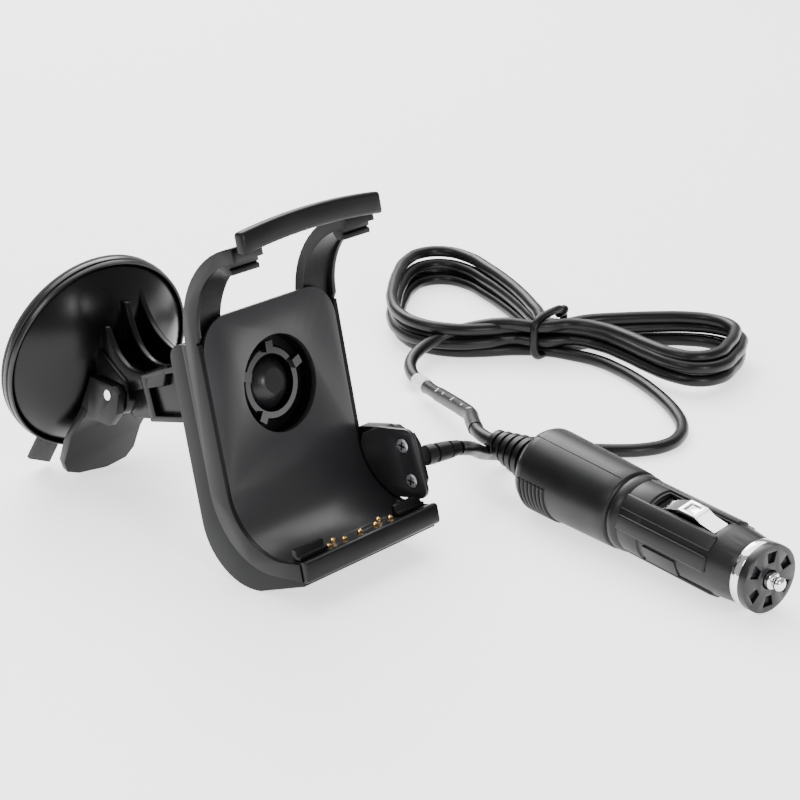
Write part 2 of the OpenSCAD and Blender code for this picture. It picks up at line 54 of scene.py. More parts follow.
class Root(Enum):
    """Bodies of the CAD part that looks ride on."""

    CRADLE = "cradle"
    ARM = "mount_arm"
    LEVER = "lock_lever"
    STUD = "stud"
    LINER = "liner"
    BALL = "joint_ball"
    TIP = "plug_tip"
    CONTACT_A = "contact_a"
    CONTACT_B = "contact_b"


def turn(x: float = 0, y: float = 0, z: float = 0) -> Matrix:
    """Turns about X, then Y, then Z, in degrees."""
    rx = Matrix.Rotation(math.radians(x), 4, "X")
    ry = Matrix.Rotation(math.radians(y), 4, "Y")
    rz = Matrix.Rotation(math.radians(z), 4, "Z")
    return rz @ ry @ rx


def place(x: float, y: float, z: float) -> Matrix:
    """The move, in metres, to a place given in millimetres before the shift."""
    return Matrix.Translation((Vector((x, y, z)) + SHIFT) * MM)


CRADLE = place(0, 0, 0) @ turn(x=-13)
ARM = place(0, 20.77, 45.49) @ turn(z=-0.9) @ turn(x=-18)
CUP = place(4, 92, 36.2) @ turn(z=-7.7) @ turn(x=13) @ turn(y=6.5)
PLUG = place(52.4, -112.1, 10.2) @ turn(z=-100.4) @ turn(y=1.43)


# ---------------------------------------------------------------- finishes


@dataclass(frozen=True)
class Finish:
    """A moulded or metal surface.

    Args:
        name: Name of the material.
        colour: Linear base colour.
        rough: Mean roughness.
        metal: 1 for metal, 0 for plastic.
        spread: How far the roughness wanders.
        grain: Size of the fine grain, in millimetres.
        depth: Strength of the grain's bump.
        tint: How far the colour wanders, as a share.
        coat: Weight of a clear gloss coat.
        shine: Strength of the plain reflection.
    """

    name: str
    colour: tuple[float, float, float]
    rough: float
    metal: float = 0.0
    spread: float = 0.08
    grain: float = 0.35
    depth: float = 0.12
    tint: float = 0.08
    coat: float = 0.0
    shine: float = 0.3

    LEAST_ROUGH: ClassVar[float] = 0.02
    BROAD_SCALE: ClassVar[float] = 70.0
    BUMP_DISTANCE: ClassVar[float] = 0.00005

    def build(self) -> bpy.types.Material:
        """Makes the node material."""
        mat = bpy.data.materials.new(self.name)
        mat.use_nodes = True
        tree = mat.node_tree
        nodes, links = tree.nodes, tree.links
        shader = nodes["Principled BSDF"]
        shader.inputs["Metallic"].default_value = self.metal
        shader.inputs["Coat Weight"].default_value = self.coat
        shader.inputs["Specular IOR Level"].default_value = self.shine
        shader.inputs["Coat Roughness"].default_value = 0.08
        coord = nodes.new("ShaderNodeTexCoord")
        fine = self._noise(tree, coord, 1 / (self.grain * MM), 3.0)
        broad = self._noise(tree, coord, self.BROAD_SCALE, 2.0)
        mix = nodes.new("ShaderNodeMix")
        mix.data_type = "RGBA"
        dark = tuple(c * (1 - self.tint) for c in self.colour)
        light = tuple(min(1.0, c * (1 + self.tint)) for c in self.colour)
        mix.inputs["A"].default_value = (*dark, 1)
        mix.inputs["B"].default_value = (*light, 1)
        links.new(broad.outputs["Fac"], mix.inputs["Factor"])
        links.new(mix.outputs["Result"], shader.inputs["Base Color"])
        rough = nodes.new("ShaderNodeMapRange")
        rough.inputs["To Min"].default_value = max(self.LEAST_ROUGH, self.rough - self.spread)
        rough.inputs["To Max"].default_value = min(1.0, self.rough + self.spread)
        links.new(broad.outputs["Fac"], rough.inputs["Value"])
        links.new(rough.outputs["Result"], shader.inputs["Roughness"])
        bump = nodes.new("ShaderNodeBump")
        bump.inputs["Strength"].default_value = self.depth
        bump.inputs["Distance"].default_value = self.BUMP_DISTANCE
        links.new(fine.outputs["Fac"], bump.inputs["Height"])
        links.new(bump.outputs["Normal"], shader.inputs["Normal"])
        return mat

    @staticmethod
    def _noise(
        tree: bpy.types.NodeTree, coord: bpy.types.Node, scale: float, detail: float
    ) -> bpy.types.Node:
        """A noise texture on object coordinates."""
        noise = tree.nodes.new("ShaderNodeTexNoise")
        noise.inputs["Scale"].default_value = scale
        noise.inputs["Detail"].default_value = detail
        tree.links.new(coord.outputs["Object"], noise.inputs["Vector"])
        return noise


class Look(Enum):
    """The finishes of the part, each with a slot name."""

    PLATE = (
        Finish("plate_satin", (0.014, 0.014, 0.0155), 0.34, depth=0.3, shine=0.45),
        "plate_plastic",
    )
    FRAME = (
        Finish("frame_satin", (0.003, 0.0031, 0.0037), 0.36, depth=0.25, shine=0.22),
        "frame_plastic",
    )
    SHELL = (
        Finish("shell_matte", (0.005, 0.0052, 0.006), 0.46, depth=0.3, shine=0.22),
        "frame_plastic",
    )
    GLOSS = (
        Finish("dome_gloss", (0.001, 0.001, 0.0012), 0.26, spread=0.02, depth=0.02, shine=0.26),
        "gloss_black",
    )
    RING = (Finish("ring_gloss", (0.003, 0.003, 0.0035), 0.16, depth=0.03, coat=0.5), "gloss_black")
    LINER = (Finish("liner_satin", (0.005, 0.005, 0.006), 0.34, depth=0.05), "liner_plastic")
    RIM = (Finish("rim_satin", (0.006, 0.006, 0.007), 0.3, depth=0.1, shine=0.45), "frame_plastic")
    LEVER = (
        Finish("lever_satin", (0.003, 0.003, 0.0036), 0.34, depth=0.1, shine=0.22),
        "frame_plastic",
    )
    PAD = (Finish("pad_rubber", (0.002, 0.002, 0.002), 0.5, depth=0.2, shine=0.15), "pad_rubber")
    CORD = (
        Finish("cord_satin", (0.0022, 0.0022, 0.0026), 0.36, grain=0.6, depth=0.12, shine=0.28),
        "cord_rubber",
    )
    SLEEVE = (Finish("sleeve_satin", (0.004, 0.004, 0.0045), 0.4, depth=0.1), "cord_rubber")
    PLUG = (
        Finish("plug_satin", (0.004, 0.004, 0.0046), 0.38, depth=0.35, shine=0.32),
        "plug_plastic",
    )
    CAP = (Finish("cap_satin", (0.006, 0.006, 0.007), 0.32, depth=0.15, shine=0.4), "plug_plastic")
    CHROME = (
        Finish(
            "chrome", (0.8, 0.8, 0.81), 0.12, metal=1, spread=0.05, grain=0.8, depth=0.04,
            shine=0.5),
        "chrome",
    )
    STEEL = (Finish("steel", (0.35, 0.35, 0.36), 0.38, metal=1, depth=0.1, shine=0.5), "steel")
    GOLD = (
        Finish("gold", (0.9, 0.58, 0.24), 0.16, metal=1, spread=0.05, depth=0.04, shine=0.5),
        "brass",
    )
    BOARD = (Finish("board_green", (0.01, 0.07, 0.03), 0.4), "board")
    GLASS = (Finish("fuse_cap", (0.5, 0.52, 0.53), 0.25, metal=0.6), "fuse_glass")
    LABEL = (Finish("label_white", (0.82, 0.82, 0.81), 0.5, depth=0.1), "label")
    # Near-black, dull finish for recesses: painted shade on the screw crosses, the socket cup and the
    # contact block
    DARK = (Finish("recess_painted_shade", (0.001, 0.001, 0.0012), 0.5, shine=0.15), "frame_plastic")

    @property
    def material(self) -> bpy.types.Material:
        """The material, made at its first use."""
        finish = self.value[0]
        return bpy.data.materials.get(finish.name) or finish.build()

    def dress(self, obj: bpy.types.Object) -> None:
        """Gives a piece this finish."""
        obj.data.materials.clear()
        obj.data.materials.append(self.material)


# ---------------------------------------------------------------- modelling


def deselect() -> None:
    """Leaves edit mode and selects nothing."""
    if bpy.context.object and bpy.context.object.mode != "OBJECT":
        bpy.ops.object.mode_set(mode="OBJECT")
    bpy.ops.object.select_all(action="DESELECT")


def only(obj: bpy.types.Object) -> bpy.types.Object:
    """Selects one object and makes it active."""
    deselect()
    obj.select_set(True)
    bpy.context.view_layer.objects.active = obj
    return obj


def smooth(obj: bpy.types.Object, angle: float = 34) -> None:
    """Shades an object smooth below an angle in degrees."""
    only(obj)
    bpy.ops.object.shade_smooth_by_angle(angle=math.radians(angle))


def settle(obj: bpy.types.Object, frame_matrix: Matrix | None = None) -> bpy.types.Object:
    """Applies a local frame and the object's own place to its mesh."""
    if frame_matrix is not None:
        obj.matrix_world = frame_matrix @ obj.matrix_world
    only(obj)
    bpy.ops.object.transform_apply(location=True, rotation=True, scale=True)
    return obj


def add_bevel(obj: bpy.types.Object, width: float, segments: int = 2, angle: float = 30) -> None:
    """Bevels an object's sharp edges, by a width in millimetres, and applies it."""
    only(obj)
    mod = obj.modifiers.new("round", "BEVEL")
    mod.width = width * MM
    mod.segments = segments
    mod.limit_method = "ANGLE"
    mod.angle_limit = math.radians(angle)
    mod.use_clamp_overlap = True
    mod.miter_outer = "MITER_ARC"
    bpy.ops.object.modifier_apply(modifier=mod.name)


def rounded(
    node: str, look: Look, body: Root, width: float, segments: int = 2, angle: float = 30
) -> bpy.types.Object:
    """Copies a CAD node, merges it, rounds its edges and puts it in the node's place.

    Args:
        node: The CAD node.
        look: Its finish.
        body: The body it rides on.
        width: Width of the rounding, in millimetres.
        segments: Segments of the rounding.
        angle: Edges sharper than this are rounded, in degrees.

    Returns:
        The new piece.
    """
    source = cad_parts[node]
    obj = bpy.data.objects.new(f"{node}_look", source.data.copy())
    bpy.context.scene.collection.objects.link(obj)
    only(obj)
    bpy.ops.object.mode_set(mode="EDIT")
    bpy.ops.mesh.select_all(action="SELECT")
    bpy.ops.mesh.customdata_custom_splitnormals_clear()
    bpy.ops.mesh.remove_doubles(threshold=MERGE_DISTANCE)
    bpy.ops.mesh.dissolve_limited(angle_limit=math.radians(FLAT_ANGLE))
    bpy.ops.object.mode_set(mode="OBJECT")
    add_bevel(obj, width, segments, angle)
    smooth(obj)
    look.dress(obj)
    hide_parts(node)
    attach(obj, body.value)
    return obj


def prism(
    name: str, outline: Iterable[tuple[float, float]], x0: float, x1: float, width: float
) -> bpy.types.Object:
    """A prism across X from an outline in (y, z), in millimetres, with rounded edges.

    Args:
        name: Name of the piece.
        outline: Corners in order.
        x0: Low end.
        x1: High end.
        width: Rounding of its edges.

    Returns:
        The piece, in its local frame, in metres.
    """
    points = list(outline)
    mesh = bpy.data.meshes.new(name)
    low = [(x0 * MM, y * MM, z * MM) for y, z in points]
    mesh.from_pydata(low, [], [tuple(range(len(points)))])
    obj = bpy.data.objects.new(name, mesh)
    bpy.context.scene.collection.objects.link(obj)
    only(obj)
    bpy.ops.object.mode_set(mode="EDIT")
    bpy.ops.mesh.select_all(action="SELECT")
    bpy.ops.mesh.extrude_region_move(TRANSFORM_OT_translate={"value": ((x1 - x0) * MM, 0, 0)})
    bpy.ops.mesh.select_all(action="SELECT")
    bpy.ops.mesh.normals_make_consistent(inside=False)
    bpy.ops.object.mode_set(mode="OBJECT")
    if width > 0:
        add_bevel(obj, width, 2)
    smooth(obj)
    return obj


def turned(name: str, profile: Iterable[tuple[float, float]], steps: int = 64) -> bpy.types.Object:
    """A solid turned about X from a profile, in millimetres.

    Args:
        name: Name of the piece.
        profile: Corners in order as (radius, x).
        steps: Sides of the turned solid.

    Returns:
        The piece, in its local frame, in metres.
    """
    points = [(x * MM, 0.0, max(r, 0.0) * MM) for r, x in profile]
    mesh = bpy.data.meshes.new(name)
    mesh.from_pydata(points, [(i, i + 1) for i in range(len(points) - 1)], [])
    obj = bpy.data.objects.new(name, mesh)
    bpy.context.scene.collection.objects.link(obj)
    only(obj)
    bpy.ops.object.mode_set(mode="EDIT")
    bpy.ops.mesh.select_all(action="SELECT")
    bpy.ops.mesh.spin(steps=steps, angle=math.tau, center=(0, 0, 0), axis=(1, 0, 0), dupli=False)
    bpy.ops.mesh.select_all(action="SELECT")
    bpy.ops.mesh.remove_doubles(threshold=SPIN_MERGE)
    bpy.ops.mesh.normals_make_consistent(inside=False)
    bpy.ops.object.mode_set(mode="OBJECT")
    return obj


def bar(name: str, start: Vector, end: Vector, width: float, height: float) -> bpy.types.Object:
    """A rounded bar between two places, in millimetres.

    Args:
        name: Name of the piece.
        start: Middle of one end.
        end: Middle of the other end.
        width: Its size across.
        height: Its thickness.

    Returns:
        The bar, in its local frame, in metres.
    """
    length = (end - start).length
    bpy.ops.mesh.primitive_cube_add(size=1)
    obj = bpy.context.object
    obj.name = name
    obj.scale = (length * MM, width * MM, height * MM)
    settle(obj)
    add_bevel(obj, min(width, height) * 0.48, 3)
    lie = (end - start).normalized().to_track_quat("X", "Z").to_matrix().to_4x4()
    obj.matrix_world = Matrix.Translation((start + end) * 0.5 * MM) @ lie
    smooth(obj, 50)
    return settle(obj)


def joined(name: str, parts: list[bpy.types.Object]) -> bpy.types.Object:
    """Joins several meshes into one named piece."""
    deselect()
    for part in parts:
        part.select_set(True)
    bpy.context.view_layer.objects.active = parts[0]
    bpy.ops.object.join()
    bpy.context.object.name = name
    return bpy.context.object


def ride(obj: bpy.types.Object, look: Look, body: Root, *nodes: str) -> bpy.types.Object:
    """Dresses a finished piece, hides the CAD nodes it stands for and lets it ride.

    Args:
        obj: The piece.
        look: Its finish.
        body: The body it rides on.
        nodes: The CAD nodes it stands for.

    Returns:
        The piece.
    """
    look.dress(obj)
    if nodes:
        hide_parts(*nodes)
    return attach(obj, body.value)


def finish_nodes(looks: Iterable[tuple[str, Look]]) -> None:
    """Gives the CAD nodes that stay their materials."""
    for name, look in looks:
        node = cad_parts[name]
        node.data.materials.clear()
        node.data.materials.append(look.material)


# ---------------------------------------------------------------- the cord


@dataclass
class Cord:
    """The lead, hank and tail as one cord, with its tie, label and sleeve.

    Routes are in millimetres before the shift, and the sizes in millimetres but for the
    length, which is in metres.
    """

    diameter: float = 4.2
    length: float = 1.94
    lead: tuple = (
        (44.6, -13.9, 22), (50, -12.8, 20), (57, -9.5, 16.5), (65, -5, 12), (73, -0.5, 8),
        (81, 1, 5), (89, 0, 3), (97, -5, 2.2), (105, -12, 2.2), (111, -19.5, 2.2), (117.5, -25.5, 2.2),
        (125, -28.5, 2.2), (133, -27.5, 2.2), (141, -23, 2.2), (148, -16, 2.2), (154, -8, 2.2),
        (159.5, 1, 2.2), (164.5, 11, 2.2), (168.5, 22, 2.2), (170.5, 32, 2.2), (169.5, 42, 2.2),
    )
    tail: tuple = (
        (157, 61, 12.2), (151.5, 68.2, 11), (145, 73.6, 9.2), (138, 76.8, 7.2), (130.5, 76.8, 5.6),
        (123.6, 74, 4.4), (118, 68.8, 3.8), (113, 61.5, 4), (108.5, 53.5, 5), (103.6, 44.5, 6.2),
        (98.3, 35, 7.8), (93, 26, 9.4), (88, 18.4, 10.8), (81.6, 12, 12), (76.6, 6.5, 12.6),
        (73.4, 1, 12.8), (72, -4.9, 12.8),
    )
    # Where the cord runs on inside the plug, along its axis
    in_plug: tuple = (-100, -88, -76, -66)
    left_lobe: tuple = (
        (160, 60), (151, 65), (143, 73), (139.5, 84), (142, 95), (150, 106), (161, 115.5),
        (174, 125),
        (188, 133), (199, 135), (206, 130), (207, 120), (202, 106), (195, 91), (187, 77), (179, 65),
    )
    right_lobe: tuple = (
        (183, 45), (192, 38), (200, 30), (207, 21), (210.5, 11), (208, 1), (200, -5), (190, -9),
        (179, -11.5), (171, -8), (168.5, 0), (170, 11), (173, 23), (174.5, 34), (172, 44),
    )
    # Passes through the tie as (across, height): towards the left lobe, and back.
    passes_left: tuple = ((-2.1, 2.3), (-4.4, 6.3), (0.0, 6.5), (-2.0, 10.4), (-6.3, 12.0))
    passes_right: tuple = ((2.1, 2.3), (6.3, 2.4), (4.3, 6.5), (2.4, 10.5))
    left_scale: tuple = (0.9, 1.0, 0.94, 1.0)
    right_scale: tuple = (0.98, 0.86, 1.0, 0.9)
    left_lift: tuple = (0.0, 0.4, 1.2, 1.5)
    right_lift: tuple = (0.0, 0.0, 0.4, 0.8)
    tie_at: tuple = (168.7, 51.5)
    tie_yaw: float = -84.0

    # The cord's middle stays this high over the floor
    lowest: float = 2.25

    def _through(self, across: float, height: float) -> tuple[float, float, float]:
        """A place in the tie's opening."""
        a = math.radians(self.tie_yaw + 90)
        x, y = self.tie_at
        return (x + across * math.cos(a), y + across * math.sin(a), height)

    def _lobe(
        self, outline: tuple, scale: float, z0: float, z1: float, lift: float
    ) -> list[tuple]:
        """One run round a lobe.

        Args:
            outline: Places round the lobe as (x, y).
            scale: How far the run is drawn in towards the lobe's middle.
            z0: Height where it starts.
            z1: Height where it ends.
            lift: How much higher it is half way.

        Returns:
            Its places.
        """
        cx = sum(p[0] for p in outline) / len(outline)
        cy = sum(p[1] for p in outline) / len(outline)
        last = len(outline) - 1
        out = []
        for i, (x, y) in enumerate(outline):
            t = i / last
            s = 1 + (scale - 1) * math.sin(math.pi * t) ** 0.5 if 0 < t < 1 else 1.0
            z = z0 + (z1 - z0) * t + lift * math.sin(math.pi * t)
            out.append((cx + (x - cx) * s, cy + (y - cy) * s, max(z, self.lowest)))
        return out

    def route(self) -> list[Vector]:
        """Places down the middle of the cord, from the module to the plug, in metres."""
        points = list(self.lead)
        for k, back in enumerate(self.passes_right):
            here, ahead = self.passes_left[k], self.passes_left[k + 1]
            points.append(self._through(*here))
            points += self._lobe(
                self.left_lobe, self.left_scale[k], here[1], back[1], self.left_lift[k])
            points.append(self._through(*back))
            points += self._lobe(
                self.right_lobe, self.right_scale[k], back[1], ahead[1], self.right_lift[k])
        points.append(self._through(*self.passes_left[-1]))
        points += list(self.tail)
        route = [(Vector(p) + SHIFT) * MM for p in points]
        return route + [PLUG @ Vector((x * MM, 0, 0)) for x in self.in_plug]

    @staticmethod
    def curve(name: str, points: list[Vector], radius: float) -> bpy.types.Object:
        """A round tube along places, in metres."""
        data = bpy.data.curves.new(name, "CURVE")
        data.dimensions = "3D"
        data.resolution_u = 5
        data.bevel_depth = radius
        data.bevel_resolution = 5
        data.use_fill_caps = True
        spline = data.splines.new("BEZIER")
        spline.bezier_points.add(len(points) - 1)
        for point, place_ in zip(spline.bezier_points, points):
            point.co = place_
            point.handle_left_type = point.handle_right_type = "AUTO"
        obj = bpy.data.objects.new(name, data)
        bpy.context.scene.collection.objects.link(obj)
        return obj

    def tube(self) -> bpy.types.Object:
        """The whole cord."""
        obj = self.curve("cord", self.route(), self.diameter / 2 * MM)
        return ride(obj, Look.CORD, Root.CRADLE, "cord_lead", "cord_hank", "cord_tail")

    def sleeves(self) -> list[bpy.types.Object]:
        """The dark sleeve and the white label on the tail."""
        tail = [(Vector(p) + SHIFT) * MM for p in self.tail]
        out = []
        for name, look, run, over, node in (
            ("sleeve", Look.SLEEVE, tail[9:15], 0.25, "cord_sleeve"),
            ("label", Look.LABEL, tail[7:9], 0.32, "cord_label"),
        ):
            obj = self.curve(name, run, (self.diameter / 2 + over) * MM)
            only(obj)
            bpy.ops.object.convert(target="MESH")
            out.append(ride(bpy.context.object, look, Root.CRADLE, node))
        return out + [self.marks(tail)]

    def marks(self, tail: list[Vector]) -> bpy.types.Object:
        """Short pale bars on the sleeve, in place of its print."""
        bars = []
        for i, share, size in (
            (9, 0.2, 1.5), (9, 0.7, 0.9), (10, 0.5, 1.5), (11, 0.4, 0.9), (12, 0.1, 1.5),
        ):
            at = tail[i].lerp(tail[i + 1], share) / MM
            along = (tail[i + 1] - tail[i]).normalized()
            out = Vector((-0.62, -0.5, 0.6)).normalized()
            across = along.cross(out).normalized()
            out = across.cross(along).normalized() * (self.diameter / 2 + 0.22)
            half = across * size * 0.5
            bars.append(bar("mark", at + out - half, at + out + half, 0.5, 0.3))
        return ride(joined("sleeve_marks", bars), Look.LABEL, Root.CRADLE)

    def tie(self) -> bpy.types.Object:
        """The round rubber loop about the hank's waist, with its knob."""
        half, low, high, corner = 9.4, 1.5, 15.0, 4.2
        ring = []
        for cx, cz, a0 in (
            (half - corner, low + corner, -90), (half - corner, high - corner, 0),
            (corner - half, high - corner, 90), (corner - half, low + corner, 180),
        ):
            for i in range(6):
                a = math.radians(a0 + i * 18)
                y, z = cx + corner * math.cos(a), cz + corner * math.sin(a)
                ring.append(Vector((0.0, y, z)) * MM)
        loop = self.curve("tie", ring, 1.35 * MM)
        loop.data.splines[0].use_cyclic_u = True
        only(loop)
        bpy.ops.object.convert(target="MESH")
        loop = bpy.context.object
        knob = turned("knob", (
            (0.0, -2.4), (1.2, -2.2), (1.75, -1.2), (1.8, 0.6), (1.5, 2.0), (0.8, 2.7),
            (0.0, 2.8)), 24)
        settle(knob, Matrix.Translation(Vector((0.0, 7.6, 13.6)) * MM) @ turn(y=-20, z=70))
        obj = joined("tie", [loop, knob])
        settle(obj, place(*self.tie_at, 0) @ turn(z=self.tie_yaw))
        smooth(obj, 60)
        return ride(obj, Look.CORD, Root.CRADLE, "cord_tie")


# ---------------------------------------------------------------- sub-assemblies


@dataclass
class Cradle:
    """The leaning cradle with its arms, bar, shelf, pins and module."""

    rounds: tuple = (
        ("face_plate", Look.PLATE, 0.5, 2, 30),
        ("side_frame", Look.FRAME, 0.5, 2, 30),
        ("top_bar", Look.FRAME, 0.9, 3, 30),
        ("rear_shell", Look.SHELL, 1.8, 3, 50),
        ("front_lip", Look.FRAME, 0.45, 2, 30),
        ("guide_blocks", Look.FRAME, 0.2, 2, 30),
        # The contact block takes the near-black recess finish: painted shade
        ("contact_block", Look.DARK, 0.1, 1, 30),
        ("module_cover", Look.PLATE, 0.35, 2, 30),
        ("module_housing", Look.FRAME, 1.0, 3, 30),
    )

    # Centres of the module's screws as (y, z), and of the rear shell's as (x, z)
    module_screws: tuple = ((-16.2, 24.6), (-17.4, 14.6))
    shell_screws: tuple = ((-19, 22), (19, 22), (-19, 57), (19, 57))

    def fixings(self) -> list[bpy.types.Object]:
        """The cross-head screws of the module and the rear shell: steel heads, and crosses in painted
        shade standing for the shade in their cut recesses.
        """
        head = turned("head", (
            (0.0, 28.0), (1.0, 28.0), (1.0, 25.5), (2.05, 25.45), (2.08, 25.1), (1.9, 24.88),
            (1.3, 24.8), (0.0, 24.78)), 32)
        smooth(head, 50)
        cross = joined("cross", [
            bar(
                "cut", Vector((24.8, -1.25 * c, -1.25 * d)), Vector((24.8, 1.25 * c, 1.25 * d)),
                0.5, 0.5)
            for c, d in ((0.94, 0.34), (-0.34, 0.94))])
        module = [Matrix.Translation(Vector((0, y, z)) * MM) for y, z in self.module_screws]
        shell = [
            Matrix.Translation(Vector((x, 43.36, z)) * MM) @ turn(z=-90) @ Matrix.Scale(1.25, 4)
            for x, z in self.shell_screws]
        out = []
        for group, places in (("module", module), ("shell", shell)):
            # The crosses take the near-black recess finish: painted shade in the screws' recesses
            for piece, look, nodes in (
                (head, Look.STEEL, (f"{group}_screws",)), (cross, Look.DARK, ()),
            ):
                twins = []
                for place_ in places:
                    twin = piece.copy()
                    twin.data = piece.data.copy()
                    bpy.context.scene.collection.objects.link(twin)
                    twins.append(settle(twin, CRADLE @ place_))
                whole = joined(f"{group}_{piece.name}s", twins)
                out.append(ride(whole, look, Root.CRADLE, *nodes))
        for piece in (head, cross):
            bpy.data.objects.remove(piece)
        return out

    def build(self) -> list[bpy.types.Object]:
        """Makes the cradle's pieces."""
        made = [rounded(n, look, Root.CRADLE, w, s, a) for n, look, w, s, a in self.rounds]
        return made + self.fixings()

    @staticmethod
    def dress() -> None:
        """Finishes the CAD nodes that stay."""
        finish_nodes((
            # The socket cup takes the near-black recess finish: painted shade down the socket
            ("circuit_board", Look.BOARD), ("socket_cup", Look.DARK), ("socket_ring", Look.RING),
            ("cable_boot", Look.CORD), ("socket_liner", Look.LINER), ("ball", Look.LINER),
        ))
        finish_nodes((f"contact_pin_{k}", Look.GOLD) for k in range(1, 8))


@dataclass
class Cup:
    """The arm, dome, rim, pad and lock lever."""

    rounds: tuple = (
        ("lever", Look.LEVER, Root.LEVER, 0.7, 3, 30),
        ("suction_pad", Look.PAD, Root.ARM, 0.6, 2, 35),
    )

    radius: float = 30.7
    height: float = 14.0

    def _skin(self, r: float) -> float:
        """How far the dome stands out at a distance from its axis."""
        ball = (self.radius**2 + self.height**2) / (2 * self.height)
        return ball - math.sqrt(ball * ball - r * r) - self.height

    def dome(self) -> bpy.types.Object:
        """The dome, hub, ribs and arm as one piece."""
        outer = [(r, self._skin(r)) for r in (29.5 * i / 28 for i in range(29))]
        inner = [
            (r, min(self._skin(r) + 2.2, 0.02)) for r in (29.45 * i / 12 for i in range(12, -1, -1))]
        shell = turned("dome", outer + inner, 128)
        smooth(shell, 50)
        settle(shell, turn(z=90))
        arc = [
            (6 * math.cos(math.radians(b)), 6 * math.sin(math.radians(b)))
            for b in range(270, 89, -12)]
        boss = arc + [(12, 8.5), (12, -8.5)]
        hub = prism("hub", [(y - 24, z) for y, z in boss], -8.7, 8.7, 0.8)
        parts = [shell, hub]
        for x, start, mid, end in (
            (6.0, (-5.6, 23.4), (-21.4, 7.1), (-42.0, 19.6)),
            (-0.8, (-10.4, 21.4), (-24.0, 2.5), (-42.0, 19.2)),
            (-7.6, (-12.4, 15.4), (-26.7, 1.9), (-42.0, 18.8)),
        ):
            edge = [
                tuple(
                    (1 - t) ** 2 * start[k] + 2 * t * (1 - t) * mid[k] + t * t * end[k]
                    for k in (0, 1))
                for t in (i / 18 for i in range(19))]
            foot = [(end[0], 12.0), (-30.0, 4.0), (-22.0, 0.0), (start[0] + 4.4, start[1] - 14)]
            foot.append((start[0] + 3.4, start[1] - 0.6))
            parts.append(prism("rib", edge + foot, x, x + 2.0, 0.5))
        core = prism("beam", (
            (14, -7.6), (14, 7.8), (26, 7.4), (38, 6.6), (48, 5.5), (50, 4.0), (50, -4.0),
            (48, -6.0), (38, -6.8), (26, -7.5)), -6.3, 6.3, 0.5)
        border = prism("border", (
            (14, 7.9), (16, 8.6), (26, 7.9), (39, 6.9), (39, -7.1), (26, -8.0), (16, -8.4),
            (14, -8.0), (14, -6.2), (26, -6.2), (36, -5.4), (36, 5.2), (26, 6.1),
            (14, 6.4)), -8, 8, 0.35)
        for part in (core, border):
            parts.append(settle(part, CUP.inverted() @ ARM))
        whole = settle(joined("dome_arm_look", parts), CUP)
        return ride(whole, Look.GLOSS, Root.ARM, "dome_arm", "arm_cover")

    def rim(self) -> bpy.types.Object:
        """The rim with its groove."""
        r = self.radius
        obj = turned("rim", (
            (r - 1.2, -2.5), (r - 0.9, -2.75), (r - 0.5, -2.6), (r - 0.25, -2.1), (r - 0.2, -1.5),
            (r - 0.55, -1.2), (r - 0.55, -0.9), (r - 0.05, -0.7), (r, -0.1), (r, 0.5),
            (r - 0.3, 0.95), (r - 1.1, 1.0), (r - 1.2, 0.2), (r - 1.2, -2.5)), 128)
        smooth(obj, 40)
        return ride(settle(obj, CUP @ turn(z=90)), Look.RIM, Root.ARM, "rim_ring")

    def build(self) -> list[bpy.types.Object]:
        """Makes the cup's pieces."""
        made = [rounded(n, look, body, w, s, a) for n, look, body, w, s, a in self.rounds]
        return made + [self.dome(), self.rim()]

    @staticmethod
    def dress() -> None:
        """Finishes the CAD nodes that stay."""
        finish_nodes((("pull_stud", Look.STEEL), ("lever_pin", Look.CHROME)))


